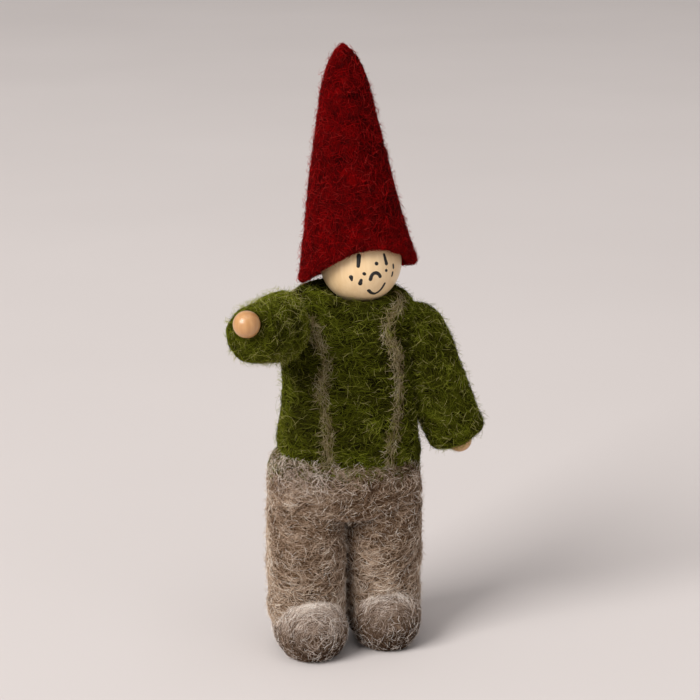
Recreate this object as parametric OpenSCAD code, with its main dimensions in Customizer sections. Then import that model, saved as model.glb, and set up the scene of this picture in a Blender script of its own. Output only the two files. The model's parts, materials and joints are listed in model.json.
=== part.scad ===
// Felted gnome doll on bendable chenille stems: wooden bead head and hands, hollow cone hat,
// sweater with braces, trousers and wound feet. Millimetres, +Z up, the doll faces -Y.
// The origin is on the floor under the middle of the whole doll.

/* [Beads] */
// Diameter of the head bead
head_d = 25; // [24:0.5:26]
// Diameter of each hand bead
hand_d = 8; // [7:0.5:9]

/* [Hat] */
// Height of the tip of the hat above the floor
hat_tip_z = 189.5; // [186:0.5:194]
// Thickness of the hat's felt
hat_felt = 2; // [1.6:0.1:2.2]
// How much each millimetre down the hat widens it on each side
hat_flare = 0.19; // [0.18:0.005:0.21]
// Depth of the hat as a share of its width
hat_flatness = 0.9; // [0.89:0.01:0.98]

/* [Trunk] */
// Height of the sweater's hem
hem_z = 62; // [60:0.5:64]
// Height of the top of the collar
collar_z = 113.5; // [112:0.5:114]
// Width of the trunk at the hem
hem_w = 43.4; // [42:0.2:45]
// Depth of the trunk, front to back
trunk_depth = 29; // [27:0.5:31]
// Thickness of the sweater's felt
sweater_felt = 3; // [2.5:0.1:4]
// Width of each brace
brace_w = 3.8; // [3:0.2:5]
// Thickness of each brace
brace_t = 0.8; // [0.6:0.1:1.2]

/* [Arms] */
// Radius of a sleeve
sleeve_r = 9.3; // [8.8:0.1:9.4]
// Most that an elbow bends
elbow_max = 60; // [30:5:60]

/* [Legs] */
// Radius of a trouser leg
leg_r = 11.7; // [11:0.1:11.8]
// Radius of a foot's wound wool
foot_r = 11.3; // [10.8:0.1:11.4]
// Height of the hip bend
hip_z = 46; // [45:0.5:47]
// Swing of a hip that the seat leaves room for
hip_max = 70; // [30:5:70]
// Most that an ankle bends either way
ankle_max = 10; // [5:1:10]

/* [Stems] */
// Radius of a stem's pile inside the wool
stem_r = 2.2; // [2:0.1:2.4]
// Radius of a stem's twisted pair of steel wires
wire_r = 0.9; // [0.6:0.1:1]

/* [Hidden] */
// Distance left between felt parts that move against each other
gap = 0.4;
// Distance left between pieces of one body
seam = 0.1;
// Running clearance of the bead on its stem
running = 0.05;
// How much a ball at a bend is fuller than its rods
knuckle = 1.04;
// How much fuller the twist is where the spine forks into the legs
fork = 1.3;
// Size of the ball at a square bend
knot = 1.5;
// How far inside a ball's surface a stem ends
ball_inset = 0.3;
// Room beyond the gap that a flat cut leaves a swinging limb
slack = 0.2;
// How far a hip and an elbow bend backwards
hip_back = 15;
elbow_back = 10;
$fn = 64;
big = 200;

// Puts the middle of the whole doll's box over the origin
origin_shift = [-1, 10.3, 0];

head_c = [4.6, -3, 123.7];
neck_c = [3.2, -0.6, 108.4];
neck_dir = (head_c - neck_c) / norm(head_c - neck_c);
shoulder_back = 4.4;
shoulder_z = 101;

trunk_x = 1.5;
trunk_top_w = 30;
arm_side_z = 95;
seat_w = 46.8;
seat_depth = 30;
core_z = 53;
hip_x = 12.4;
ankle_z = 7.4;
foot_len = 7;

// Each limb's bends: [pivot, middle bend, end]
right_arm = [[-18.5, -1, 102], [-26.5, -16.5, 106.7], [-35.3, -32, 113.3]];
left_arm = [[22.5, 0, 99.5], [29.5, -1, 82.2], [36.7, -2, 64.8]];
right_hip = [-hip_x, 0, hip_z];
left_hip = [hip_x, 0, hip_z];
right_ankle = [-hip_x, -3, ankle_z];
left_ankle = [hip_x, 1, ankle_z];

function unit(v) = v / norm(v);
function upper_dir(arm) = unit(arm[1] - arm[0]);
function fore_dir(arm) = unit(arm[2] - arm[1]);
// The elbow's axis is square to the forearm, and a turn about it lifts the hand forward
function elbow_axis(arm) = let (d = fore_dir(arm), x = [-1, 0, 0]) unit(x - (x * d) * d);

// ---- helpers ----

// Turns +Z to point from a to b, at a
module aim(a, b) {
    v = b - a;
    translate(a) rotate([0, acos(v.z / norm(v)), atan2(v.y, v.x)]) children();
}

// A rod of one radius from a to b with flat ends
module rod(a, b, r) {
    aim(a, b) cylinder(h = norm(b - a), r = r);
}

// A felted limb from a to b, seen from its side: a ball at a and a straight sleeve of the given
// length, with an open channel along the middle for the stem
module limb_blank(a, b, r, length) {
    aim(a, b) rotate_extrude() difference() {
        union() {
            intersection() {
                circle(r);
                translate([0, -r]) square([r, 2 * r]);
            }
            square([r - seam, length]);
        }
        translate([-1, -big / 2]) square([1 + stem_r + seam, big]);
    }
}

// Side view of the room under a limb of radius r that has swung forward by an angle about the
// origin: x runs forward and y up
function swing_cut(r, angle, far) = let (
    near = r * cos(angle) - 0.5,
    line = function(x) (r - x * cos(angle)) / sin(angle))
    [[near, line(near)], [far, line(far)], [far, -60], [near, -60]];

// Places a node's solid over the doll's origin in its colour
module piece(c) {
    color(c) translate(origin_shift) children();
}

// ---- stems and their wires: one route each ----

spine_fork = [trunk_x, 0, hem_z + 2];
spine_top = neck_c - (stem_r + gap + seam) * unit(neck_c - spine_fork);
function hip_top(hip) = hip + [0, 0, leg_r + gap + seam];

module spine_route(r) {
    rod(spine_fork, spine_top, r);
    translate(spine_fork) sphere(fork * r);
    for (hip = [right_hip, left_hip]) rod(spine_fork, hip_top(hip) + [0, 0, stem_r + 0.1], r);
}

shoulder_in = sleeve_r + gap + seam;
module shoulder_route(r) {
    a = [right_arm[0].x + shoulder_in, shoulder_back, shoulder_z];
    b = [left_arm[0].x - shoulder_in, shoulder_back, shoulder_z];
    rod(a, b, r);
}

// A limb's stem runs straight through the ball at a, and stops short of b
module limb_route(a, b, ball_r, short_of_b, r) {
    d = unit(b - a);
    rod(a - (ball_r - ball_inset) * d, b - short_of_b * d, r);
}

module upper_arm_route(arm, r) {
    limb_route(arm[0], arm[1], sleeve_r, sleeve_r + gap + ball_inset, r);
}

module forearm_route(arm, r, into_bead) {
    limb_route(arm[1], arm[2], sleeve_r, hand_d / 2 - into_bead, r);
}

module leg_route(hip, ankle, r) {
    limb_route(hip, ankle, leg_r, foot_r + gap + ball_inset, r);
}

// The stem of a foot is bent forward at the ankle, with a knot of pile at the bend
module foot_route(ankle, r, up = foot_r - ball_inset, ahead = foot_len + 2) {
    rod(ankle, ankle + [0, 0, up], r);
    rod(ankle, ankle - [0, ahead, 0], r);
    translate(ankle) sphere(knot * r);
}

module neck_route(r, over) {
    top = head_c + (head_d / 2 + over) * neck_dir;
    translate(neck_c) sphere(knuckle * r);
    rod(neck_c, top, r);
}

// ---- trunk ----

// The trunk's front outline, grown by g
function front_outline(g) = [
    [trunk_x - hem_w / 2 - g, hem_z - big], [trunk_x + hem_w / 2 + g, hem_z - big],
    [trunk_x + hem_w / 2 + g, hem_z], [trunk_x + 19 + g, arm_side_z],
    [trunk_x + 17.2 + g, collar_z - 4], [trunk_x + trunk_top_w / 2 - 2, collar_z + g],
    [trunk_x - trunk_top_w / 2 + 2, collar_z + g], [trunk_x - 17.2 - g, collar_z - 4],
    [trunk_x - 19 - g, arm_side_z], [trunk_x - hem_w / 2 - g, hem_z]];

// The trunk's side outline, grown by g
function side_outline(g) = let (h = trunk_depth / 2) [
    [-h - g, hem_z - big], [h + g, hem_z - big], [h + g, arm_side_z],
    [10 + g, collar_z + g], [-10 - g, collar_z + g], [-h - g, arm_side_z]];

// Rounded bar as seen from above: half circles at both ends
module stadium(w, d) {
    square([w - d, d], center = true);
    for (s = [-1, 1]) translate([s * (w - d) / 2, 0]) circle(d / 2);
}

module trunk(g) {
    intersection() {
        translate([trunk_x, 0, hem_z - big]) linear_extrude(2 * big) stadium(hem_w + 2 * g, trunk_depth + 2 * g);
        translate([0, big, 0]) rotate([90, 0, 0]) linear_extrude(2 * big) polygon(front_outline(g));
        translate([-big, 0, 0]) rotate([90, 0, 90]) linear_extrude(2 * big) polygon(side_outline(g));
    }
}

module above(z) {
    translate([-big, -big, z]) cube([2 * big, 2 * big, 2 * big]);
}

module below(z) {
    translate([-big, -big, z - 2 * big]) cube([2 * big, 2 * big, 2 * big]);
}

// Room that an arm sweeps as it turns about its left-right axis: an open cone
module arm_room(arm, side, grow) {
    lean = asin(abs(unit(arm[2] - arm[0]).x));
    tip = -(sleeve_r + grow) / cos(lean);
    translate(arm[0]) rotate([0, side * 90, 0]) rotate_extrude()
        polygon([[0, tip], [60, tip + 60 * tan(lean)], [0, 60]]);
}

module arm_rooms(grow) {
    arm_room(right_arm, -1, grow);
    arm_room(left_arm, 1, grow);
}

// Room for the head bead and the neck stem as they nod
head_room = head_d / 2 + 1.6;
module neck_room() {
    translate(head_c) sphere(head_room);
    rod(neck_c - (stem_r + gap) * neck_dir, neck_c + 4 * neck_dir, stem_r + 1.4);
}

module sweater_body() {
    piece("olivedrab") difference() {
        trunk(0);
        below(hem_z);
        intersection() {
            trunk(-sweater_felt);
            below(collar_z - 7);
        }
        arm_rooms(gap);
        neck_room();
    }
}

module core_wool() {
    piece("ivory") difference() {
        intersection() {
            trunk(-sweater_felt - seam);
            above(core_z);
            below(collar_z - 7 - seam);
        }
        arm_rooms(gap);
        neck_room();
        leg_rooms();
        spine_route(stem_r + seam);
        shoulder_route(stem_r + seam);
    }
}

// Room that the legs sweep as they swing: a ball at each hip, and a slanted cut before and behind
module leg_rooms() {
    r = leg_r + gap;
    for (hip = [right_hip, left_hip]) translate(hip) sphere(r);
    translate([-big / 2, 0, hip_z]) rotate([90, 0, 90]) linear_extrude(big) {
        mirror([1, 0]) polygon(swing_cut(r + slack, hip_max, 22));
        polygon(swing_cut(r + slack, hip_back, 22));
    }
}

module trouser_seat() {
    piece("rosybrown") difference() {
        translate([0.2, 0, hip_z]) linear_extrude(hem_z - seam - hip_z) stadium(seat_w, seat_depth);
        leg_rooms();
        translate([-2, -big, hip_z - big]) cube([4, 2 * big, big + 4]);
        intersection() {
            trunk(-sweater_felt);
            above(core_z - seam);
        }
        spine_route(stem_r + seam);
    }
}

// A brace lies on the sweater, front and back, and goes over the shoulder
module brace(points) {
    difference() {
        intersection() {
            trunk(brace_t + seam);
            translate([0, big, 0]) rotate([90, 0, 0]) linear_extrude(2 * big) polygon(concat(
                [for (p = points) [p.x - brace_w / 2, p.y]],
                [for (i = [len(points) - 1 : -1 : 0]) [points[i].x + brace_w / 2, points[i].y]]));
            above(hem_z);
        }
        trunk(seam);
        arm_rooms(gap);
        translate(head_c) sphere(head_room);
    }
}

module right_brace() {
    piece("tan") brace([[-13, collar_z + 2], [-12, 106], [-8.4, 96], [-9.2, 88], [-8, 76], [-8, hem_z]]);
}

module left_brace() {
    piece("tan") brace([[17.2, collar_z + 2], [16, 110.5], [11.8, 106], [11, 102.5], [13, 98], [14, 90],
        [13, 74], [11.5, hem_z]]);
}

module spine_stem() {
    piece("gainsboro") difference() {
        spine_route(stem_r);
        spine_route(wire_r + running);
    }
}

module spine_wire() {
    piece("silver") spine_route(wire_r);
}

module shoulder_stem() {
    piece("gainsboro") difference() {
        shoulder_route(stem_r);
        shoulder_route(wire_r + running);
    }
}

module shoulder_wire() {
    piece("silver") shoulder_route(wire_r);
}

// ---- neck, head and hat ----

module neck_stem() {
    piece("gainsboro") difference() {
        union() {
            neck_route(stem_r, 2);
            translate(head_c + (head_d / 2 + stem_r + 1) * neck_dir) sphere(stem_r + 0.8);
        }
        neck_route(wire_r + running, 1);
    }
}

module neck_wire() {
    piece("silver") neck_route(wire_r, 1);
}

module head_bead() {
    piece("wheat") difference() {
        translate(head_c) sphere(head_d / 2);
        rod(head_c - head_d * neck_dir, head_c + head_d * neck_dir, stem_r + running);
    }
}

hat_steps = 14;
hat_sides = 40;
// Radius of the hat at a depth h below its tip
function hat_r(h) = hat_flare * h + 5.1 * (1 - exp(-h / 5));
// Middle of the hat at a height z
function hat_mid(z) = let (s = (z - head_c.z) / (hat_tip_z - head_c.z)) [4.1 - 3.6 * s, -3 + 6 * s];
// Height of the hat's lower edge at an angle a from +X: high over the face, low at the sides and back
function brim_z(a) = 122.7 + 1.9 * cos(a) - 5.4 * sin(a) - 2 * cos(2 * a);
function hat_ring(t, inset) = [for (i = [0 : hat_sides - 1]) let (
        a = 360 * i / hat_sides,
        top = hat_tip_z - inset,
        z = brim_z(a) + (top - brim_z(a)) * t,
        r = hat_r(top + 0.15 - z) * (inset > 0 ? (hat_r(hat_tip_z - z) - inset) / hat_r(hat_tip_z - z) : 1),
        m = hat_mid(z)) [m.x + r * cos(a), m.y + hat_flatness * r * sin(a), z]];
function hat_share(k) = 1 - pow(1 - k / hat_steps, 1.6);
// Joins rings of equal size into one closed skin with a fan at each end
module skin(rings) {
    n = len(rings[0]);
    m = len(rings);
    polyhedron(
        points = [for (ring = rings) each ring],
        faces = concat(
            [[for (i = [0 : n - 1]) i]],
            [for (k = [0 : m - 2]) for (i = [0 : n - 1]) let (j = (i + 1) % n)
                each [[k * n + i, (k + 1) * n + j, k * n + j], [k * n + i, (k + 1) * n + i, (k + 1) * n + j]]],
            [[for (i = [n - 1 : -1 : 0]) (m - 1) * n + i]]),
        convexity = 6);
}

module hat_shell() {
    piece("firebrick") skin(concat(
        [for (k = [hat_steps : -1 : 0]) hat_ring(hat_share(k), 0)],
        [for (k = [0 : hat_steps]) hat_ring(hat_share(k), hat_felt)]));
}

// ---- arms ----

// Sets the children at the elbow: X forward, Y up the forearm, Z along the elbow's axis
module at_elbow(arm) {
    a = elbow_axis(arm);
    u = -fore_dir(arm);
    f = cross(u, a);
    e = arm[1];
    multmatrix([[f.x, u.x, a.x, e.x], [f.y, u.y, a.y, e.y], [f.z, u.z, a.z, e.z], [0, 0, 0, 1]]) children();
}

module sleeve_upper(arm) {
    r = sleeve_r + gap;
    difference() {
        limb_blank(arm[0], arm[1], sleeve_r, norm(arm[1] - arm[0]));
        translate(arm[1]) sphere(r);
        at_elbow(arm) translate([0, 0, -30]) linear_extrude(60) {
            polygon(swing_cut(r + slack, elbow_max, 16));
            mirror([1, 0]) polygon(swing_cut(r + slack, elbow_back, 16));
        }
    }
}

cuff_depth = 5;
cuff_round = 1.6;
// The forearm's sleeve ends in a cuff that is hollowed round the hand bead
module sleeve_lower(arm) {
    cuff = norm(arm[2] - arm[1]) - hand_d / 4;
    aim(arm[1], arm[2]) rotate_extrude() difference() {
        union() {
            intersection() {
                circle(sleeve_r);
                translate([0, -sleeve_r]) square([sleeve_r, 2 * sleeve_r]);
            }
            polygon([[0, 0], [sleeve_r - seam, 0], [sleeve_r - seam, cuff - cuff_round],
                [sleeve_r - cuff_round, cuff], [0, cuff]]);
        }
        translate([-1, -big / 2]) square([1 + stem_r + seam, big]);
        polygon([[0, cuff - cuff_depth], [hand_d / 2 + 0.6, cuff - cuff_depth],
            [hand_d / 2 + 2.8, cuff + 1], [0, cuff + 1]]);
    }
}

module upper_arm_stem(arm) {
    difference() {
        upper_arm_route(arm, stem_r);
        upper_arm_route(arm, wire_r + running);
    }
}

module forearm_stem(arm) {
    difference() {
        forearm_route(arm, stem_r, -0.8);
        forearm_route(arm, wire_r + running, 2);
    }
}

module hand_bead(arm) {
    difference() {
        translate(arm[2]) sphere(hand_d / 2);
        rod(arm[2] - hand_d * fore_dir(arm), arm[2], wire_r + running);
    }
}

module right_sleeve_upper() { piece("olivedrab") sleeve_upper(right_arm); }
module left_sleeve_upper() { piece("olivedrab") sleeve_upper(left_arm); }
module right_sleeve_lower() { piece("olivedrab") sleeve_lower(right_arm); }
module left_sleeve_lower() { piece("olivedrab") sleeve_lower(left_arm); }
module right_upper_arm_stem() { piece("gainsboro") upper_arm_stem(right_arm); }
module left_upper_arm_stem() { piece("gainsboro") upper_arm_stem(left_arm); }
module right_upper_arm_wire() { piece("silver") upper_arm_route(right_arm, wire_r); }
module left_upper_arm_wire() { piece("silver") upper_arm_route(left_arm, wire_r); }
module right_forearm_stem() { piece("gainsboro") forearm_stem(right_arm); }
module left_forearm_stem() { piece("gainsboro") forearm_stem(left_arm); }
module right_forearm_wire() { piece("silver") forearm_route(right_arm, wire_r, hand_d / 2 - 0.2); }
module left_forearm_wire() { piece("silver") forearm_route(left_arm, wire_r, hand_d / 2 - 0.2); }
module right_hand_bead() { piece("peru") hand_bead(right_arm); }
module left_hand_bead() { piece("peru") hand_bead(left_arm); }

// ---- legs and feet ----

module foot_blank(ankle, r) {
    toe = ankle - [0, foot_len, 0];
    translate(ankle) sphere(r);
    translate(toe) sphere(r);
    rod(ankle, toe, r - seam);
}

module trouser_leg(hip, ankle) {
    difference() {
        limb_blank(hip, ankle, leg_r, norm(hip - ankle));
        below(ankle_z + 5);
        translate(ankle) sphere(foot_r + gap);
        translate([-big / 2, ankle.y, ankle_z]) rotate([90, 0, 90]) linear_extrude(big)
            mirror([1, 0]) polygon(swing_cut(foot_r + gap + slack, 90 + ankle_max, 30));
    }
}

module leg_stem(hip, ankle) {
    difference() {
        leg_route(hip, ankle, stem_r);
        leg_route(hip, ankle, wire_r + running);
    }
}

module foot_wool(ankle) {
    difference() {
        foot_blank(ankle, foot_r);
        below(0);
        foot_route(ankle, stem_r + seam, foot_r + 1, foot_len + 2 + seam);
    }
}

module foot_stem(ankle) {
    difference() {
        foot_route(ankle, stem_r);
        foot_route(ankle, wire_r + running);
    }
}

module right_trouser_leg() { piece("rosybrown") trouser_leg(right_hip, right_ankle); }
module left_trouser_leg() { piece("rosybrown") trouser_leg(left_hip, left_ankle); }
module right_leg_stem() { piece("gainsboro") leg_stem(right_hip, right_ankle); }
module left_leg_stem() { piece("gainsboro") leg_stem(left_hip, left_ankle); }
module right_leg_wire() { piece("silver") leg_route(right_hip, right_ankle, wire_r); }
module left_leg_wire() { piece("silver") leg_route(left_hip, left_ankle, wire_r); }
module right_foot_wool() { piece("darkgray") foot_wool(right_ankle); }
module left_foot_wool() { piece("darkgray") foot_wool(left_ankle); }
module right_foot_stem() { piece("gainsboro") foot_stem(right_ankle); }
module left_foot_stem() { piece("gainsboro") foot_stem(left_ankle); }
module right_foot_wire() { piece("silver") foot_route(right_ankle, wire_r); }
module left_foot_wire() { piece("silver") foot_route(left_ankle, wire_r); }

sweater_body();
core_wool();
trouser_seat();
right_brace();
left_brace();
spine_stem();
spine_wire();
shoulder_stem();
shoulder_wire();
neck_stem();
neck_wire();
head_bead();
hat_shell();
right_sleeve_upper();
right_upper_arm_stem();
right_upper_arm_wire();
right_sleeve_lower();
right_forearm_stem();
right_forearm_wire();
right_hand_bead();
left_sleeve_upper();
left_upper_arm_stem();
left_upper_arm_wire();
left_sleeve_lower();
left_forearm_stem();
left_forearm_wire();
left_hand_bead();
right_trouser_leg();
right_leg_stem();
right_leg_wire();
right_foot_wool();
right_foot_stem();
right_foot_wire();
left_trouser_leg();
left_leg_stem();
left_leg_wire();
left_foot_wool();
left_foot_stem();
left_foot_wire();
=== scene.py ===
"""Looks of a bendable needle-felted gnome doll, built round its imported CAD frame.

Sizes in this script are millimetres in the row frame (+X the doll's left, -Y the way it faces,
+Z up). Points turn into metres only where a Blender mesh is made. Each felt part is a lofted skin
with small lumps, and a coat of real fibre strands is grown over it.
"""

import json
import math

import bpy
import numpy as np
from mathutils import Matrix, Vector
from mathutils.bvhtree import BVHTree


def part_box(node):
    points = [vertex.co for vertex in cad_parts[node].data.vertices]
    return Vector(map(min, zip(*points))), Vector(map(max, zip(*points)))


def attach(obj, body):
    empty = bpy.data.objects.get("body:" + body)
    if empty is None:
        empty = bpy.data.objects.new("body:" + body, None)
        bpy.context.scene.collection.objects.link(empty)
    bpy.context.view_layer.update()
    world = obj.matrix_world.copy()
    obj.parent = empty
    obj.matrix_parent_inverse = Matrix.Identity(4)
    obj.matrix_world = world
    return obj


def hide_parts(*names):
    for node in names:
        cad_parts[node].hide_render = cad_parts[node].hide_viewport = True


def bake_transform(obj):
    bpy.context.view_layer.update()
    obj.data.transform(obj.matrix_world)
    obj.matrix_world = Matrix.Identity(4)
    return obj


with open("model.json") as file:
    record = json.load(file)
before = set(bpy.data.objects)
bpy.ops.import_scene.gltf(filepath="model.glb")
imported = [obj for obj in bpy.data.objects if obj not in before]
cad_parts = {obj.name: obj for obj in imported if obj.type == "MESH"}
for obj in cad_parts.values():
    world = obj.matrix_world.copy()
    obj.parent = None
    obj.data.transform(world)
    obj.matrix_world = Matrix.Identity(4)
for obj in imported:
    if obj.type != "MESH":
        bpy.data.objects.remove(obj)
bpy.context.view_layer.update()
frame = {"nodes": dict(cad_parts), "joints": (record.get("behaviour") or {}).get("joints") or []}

MM = 0.001
THIN = 1.0
GROUND = 0.15  # lowest height of any felt
UP = np.array([0.0, 0.0, 1.0])


# ---------------------------------------------------------------- places from the frame

def joint_at(name):
    """Pivot of a joint, in mm."""
    found = next(j for j in frame["joints"] if j["name"] == name)
    return np.array(found["pos_m"], float) / MM


def joint_axis(name):
    found = next(j for j in frame["joints"] if j["name"] == name)
    return np.array(found["axis"], float)


def node_box(node):
    lo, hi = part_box(node)
    return np.array(lo) / MM, np.array(hi) / MM


def unit(v):
    v = np.asarray(v, float)
    return v / np.maximum(np.linalg.norm(v, axis=-1, keepdims=True), 1e-9)


HEAD = joint_at("head_turn")
HEAD_R = (node_box("head_bead")[1][0] - node_box("head_bead")[0][0]) / 2
NECK_DIR = joint_axis("head_turn")
SWEATER_LO, SWEATER_HI = node_box("sweater_body")
HEM_Z, COLLAR_Z = SWEATER_LO[2], SWEATER_HI[2]
TRUNK = np.array([(SWEATER_LO[0] + SWEATER_HI[0]) / 2, (SWEATER_LO[1] + SWEATER_HI[1]) / 2, 0])
HAT_TIP_Z = node_box("hat_shell")[1][2]
SLEEVE_R = (node_box("left_sleeve_upper")[1][1] - node_box("left_sleeve_upper")[0][1]) / 2
HAND_R = (node_box("left_hand_bead")[1][2] - node_box("left_hand_bead")[0][2]) / 2
LEG_R = (node_box("left_trouser_leg")[1][0] - node_box("left_trouser_leg")[0][0]) / 2
SIDES = ("right", "left")
SHOULDER = {s: joint_at(f"{s}_shoulder") for s in SIDES}
ELBOW = {s: joint_at(f"{s}_elbow") for s in SIDES}
HAND = {s: sum(node_box(f"{s}_hand_bead")) / 2 for s in SIDES}
HIP = {s: joint_at(f"{s}_hip") for s in SIDES}
ANKLE = {s: joint_at(f"{s}_ankle") for s in SIDES}


# ---------------------------------------------------------------- smooth noise and curves

def lumps(points, size, seed):
    """Smooth noise from -1 to 1 at the points, with lumps of about the given size."""
    table = np.random.default_rng(seed).uniform(-1, 1, (32, 32, 32))
    q = np.asarray(points, float) / size + 64
    cell = np.floor(q).astype(int)
    f = q - cell
    f = f * f * (3 - 2 * f)
    total = np.zeros(len(q))
    for corner in np.ndindex(2, 2, 2):
        share = np.prod(np.where(corner, f, 1 - f), axis=1)
        i, j, k = ((cell + corner) % 32).T
        total += share * table[i, j, k]
    return total


def smooth_rows(rows, count):
    """Even steps along a smooth curve through the rows."""
    rows = np.array(rows, float)
    t = np.concatenate([[0], np.cumsum(np.linalg.norm(np.diff(rows, axis=0), axis=1) + 1e-6)])
    slope = np.gradient(rows, t, axis=0)
    at = np.linspace(0, t[-1], count)
    i = np.clip(np.searchsorted(t, at, side="right") - 1, 0, len(t) - 2)
    h = (t[i + 1] - t[i])[:, None]
    s = ((at - t[i]) / (t[i + 1] - t[i]))[:, None]
    return ((2 * s**3 - 3 * s**2 + 1) * rows[i] + (s**3 - 2 * s**2 + s) * h * slope[i]
            + (3 * s**2 - 2 * s**3) * rows[i + 1] + (s**3 - s**2) * h * slope[i + 1])


def across(v, axis):
    """v without its part along axis, at unit length."""
    axis = unit(axis)
    return unit(v - np.sum(v * axis, axis=-1, keepdims=True) * axis)


# ---------------------------------------------------------------- meshes

def new_object(name, verts, faces, materials, indices=None, smooth=True):
    """A mesh object from vertices in mm."""
    mesh = bpy.data.meshes.new(name)
    mesh.from_pydata((np.asarray(verts) * MM).tolist(), [], faces)
    mesh.polygons.foreach_set("use_smooth", [smooth] * len(mesh.polygons))
    for m in materials:
        mesh.materials.append(m)
    if indices is not None:
        mesh.polygons.foreach_set("material_index", indices)
    mesh.validate()
    obj = bpy.data.objects.new(name, mesh)
    bpy.context.scene.collection.objects.link(obj)
    return obj


def loft(rings, first, last):
    """Closed skin over rings of equal size, with a point at each end."""
    m, n = rings.shape[:2]
    verts = np.vstack([[first], rings.reshape(-1, 3), [last]])
    faces = [(0, 1 + (i + 1) % n, 1 + i) for i in range(n)]
    for k in range(m - 1):
        a, b = 1 + k * n, 1 + (k + 1) * n
        faces += [(a + i, a + (i + 1) % n, b + (i + 1) % n, b + i) for i in range(n)]
    a, end = 1 + (m - 1) * n, 1 + m * n
    faces += [(a + i, a + (i + 1) % n, end) for i in range(n)]
    return verts, faces


def vertex_normals(verts, faces):
    tri = np.array([(f[0], f[k], f[k + 1]) for f in faces for k in range(1, len(f) - 1)])
    a, b, c = (verts[tri[:, k]] for k in range(3))
    flat = np.cross(b - a, c - a)
    out = np.zeros_like(verts)
    for k in range(3):
        np.add.at(out, tri[:, k], flat)
    return unit(out), tri


class Felt:
    """A felt skin: its mesh object, and what is needed to grow fibres on it."""

    def __init__(self, name, shape, material, seed, lump=0.35, settle=None):
        verts, faces = shape
        normals, tri = vertex_normals(verts, faces)
        a, b, c = (verts[tri[:, k]] - verts.mean(0) for k in range(3))
        if np.sum(a * np.cross(b, c)) < 0:  # the skin's faces look outwards
            faces = [f[::-1] for f in faces]
            normals = -normals
        bump = lump * (lumps(verts, 7, seed) + 0.55 * lumps(verts, 3, seed + 1)
                       + 0.3 * lumps(verts, 1.3, seed + 2))
        verts = verts + normals * bump[:, None]
        if settle:
            verts = settle(verts)
        self.verts = verts
        self.normals, self.tri = vertex_normals(verts, faces)
        self.tree = BVHTree.FromPolygons(verts.tolist(), self.tri.tolist())
        self.obj = new_object(name, verts, faces, [material])

    def seeds(self, count, rng, keep=None):
        """Random points spread evenly over the skin, with their normals."""
        a, b, c = (self.verts[self.tri[:, k]] for k in range(3))
        area = np.linalg.norm(np.cross(b - a, c - a), axis=1)
        if keep is not None:
            area = area * keep((a + b + c) / 3)
        pick = rng.choice(len(area), count, p=area / area.sum())
        u, v = rng.random((2, count))
        u, v = np.where(u + v > 1, 1 - u, u), np.where(u + v > 1, 1 - v, v)
        u, v = u[:, None], v[:, None]
        points = a[pick] * (1 - u - v) + b[pick] * u + c[pick] * v
        na, nb, nc = (self.normals[self.tri[pick, k]] for k in range(3))
        return points, unit(na * (1 - u - v) + nb * u + nc * v)

    def nearest(self, points):
        found = [self.tree.find_nearest(p) for p in points.tolist()]
        where = np.array([f[0] for f in found])
        index = np.array([f[2] for f in found])
        a, b, c = (self.verts[self.tri[index, k]] for k in range(3))
        # Normals are blended over the triangle, so that strands don't jump between faces
        area = np.linalg.norm(np.cross(b - a, c - a), axis=1) + 1e-12
        wa = np.linalg.norm(np.cross(b - where, c - where), axis=1) / area
        wb = np.linalg.norm(np.cross(c - where, a - where), axis=1) / area
        wc = np.clip(1 - wa - wb, 0, 1)
        na, nb, nc = (self.normals[self.tri[index, k]] for k in range(3))
        return where, unit(na * wa[:, None] + nb * wb[:, None] + nc * wc[:, None])


def turn(d, n, angle):
    """Turns tangent directions d about the normals n."""
    angle = np.asarray(angle)[:, None]
    return d * np.cos(angle) + np.cross(n, d) * np.sin(angle)


def grow(skin, count, seed, grain, length, jitter=0.4, lift=0.35, reach=0.0, curl=0.06,
         hold=0.25, steps=7, keep=None, clump=1, spread=0.5):
    """Strands over a skin. Each starts on it, follows the grain and wanders, lifted a little off it.

    lift is the height of a strand's middle, reach how far its end stands off the skin, curl how
    much it bends per mm, and clump how many strands run together, within spread mm.
    """
    rng = np.random.default_rng(seed)
    groups = max(1, int(count * THIN / clump))
    points, normals = skin.seeds(groups, rng, keep)
    direction = turn(across(grain(points, normals), normals), normals, rng.normal(0, jitter, groups))
    direction *= rng.choice([-1.0, 1.0], groups)[:, None]
    bend = rng.normal(0, curl, groups)
    long = rng.uniform(*length, groups)

    def members(a):
        return np.repeat(a, clump, axis=0)

    total = groups * clump
    points, normals, direction = members(points), members(normals), members(direction)
    points = points + rng.normal(0, spread, (total, 1)) * np.cross(normals, direction)
    points = points + rng.normal(0, 1.5 * spread, (total, 1)) * direction
    direction = turn(direction, normals, rng.normal(0, 0.12, total) * (clump > 1))
    bend = members(bend) + rng.normal(0, curl * 0.5, total)
    step = members(long) * rng.uniform(0.6, 1.1, total) / (steps - 1)
    points, normals = skin.nearest(points)
    path, normal_path = [points], [normals]
    side = np.sign(np.sum(direction * grain(points, normals), axis=1))[:, None]
    for _ in range(steps - 1):
        direction = across(direction, normals)
        wanted = across(grain(points, normals), normals) * side
        direction = across((1 - hold) * direction + hold * wanted, normals)
        direction = turn(direction, normals, bend * step + rng.normal(0, 0.10, total))
        points, normals = skin.nearest(points + direction * step[:, None])
        path.append(points)
        normal_path.append(normals)
    path, normal_path = np.stack(path, 1), np.stack(normal_path, 1)
    t = np.linspace(0, 1, steps)
    height = rng.uniform(0.25, 1.0, (total, 1)) * lift * np.sin(np.pi * np.minimum(t, 0.9))[None]
    height = height + rng.uniform(0.2, 1.0, (total, 1)) * reach * t[None] ** 1.6 - 0.02
    path = path + normal_path * height[..., None]
    return path, normal_path


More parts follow.
